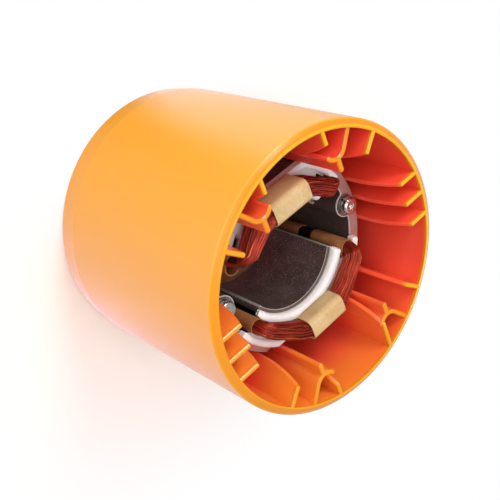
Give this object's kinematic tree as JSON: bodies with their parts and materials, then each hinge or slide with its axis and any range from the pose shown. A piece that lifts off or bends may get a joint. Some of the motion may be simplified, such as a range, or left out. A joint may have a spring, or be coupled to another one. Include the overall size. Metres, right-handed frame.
{
  "type": "wound stator",
  "caption": "Wound motor stator in a round, open-mouthed plastic housing with inner ribs: laminated poles, copper coils, paper sleeves and white end insulators.",
  "frame": {"origin": "centre of the outside face of the housing's closed rear end", "axes": "+Z along the motor axis, out of the open mouth; +X through the middle of one magnet pole; +Y through one stack screw"},
  "size_m": [0.128, 0.128, 0.1171],
  "materials": {
    "housing_plastic": "glossy orange moulded plastic",
    "laminations": "dark varnished electrical steel sheets",
    "enamelled_copper": "enamelled copper wire",
    "white_insulator": "satin white moulded plastic",
    "paper": "matt brown electrical paper",
    "plated_steel": "bright zinc plating"
  },
  "bodies": {
    "root": {"crown_sleeve_front_left": "paper", "crown_sleeve_front_right": "paper", "crown_sleeve_rear_left": "paper", "crown_sleeve_rear_right": "paper", "end_insulator_front_left": "white_insulator", "end_insulator_front_right": "white_insulator", "end_insulator_rear_left": "white_insulator", "end_insulator_rear_right": "white_insulator", "field_coil_left": "enamelled_copper", "field_coil_right": "enamelled_copper", "flat_washer_lower": "plated_steel", "flat_washer_upper": "plated_steel", "lamination_stack": "laminations", "lock_washer_lower": "plated_steel", "lock_washer_upper": "plated_steel", "motor_housing": "housing_plastic", "slot_liner_lower": "paper", "slot_liner_upper": "paper", "slot_tube_front_left_lower": "paper", "slot_tube_front_left_upper": "paper", "slot_tube_front_right_lower": "paper", "slot_tube_front_right_upper": "paper", "slot_tube_rear_left_lower": "paper", "slot_tube_rear_left_upper": "paper", "slot_tube_rear_right_lower": "paper", "slot_tube_rear_right_upper": "paper", "stack_screw_lower": "plated_steel", "stack_screw_upper": "plated_steel"}
  },
  "joints": []
}
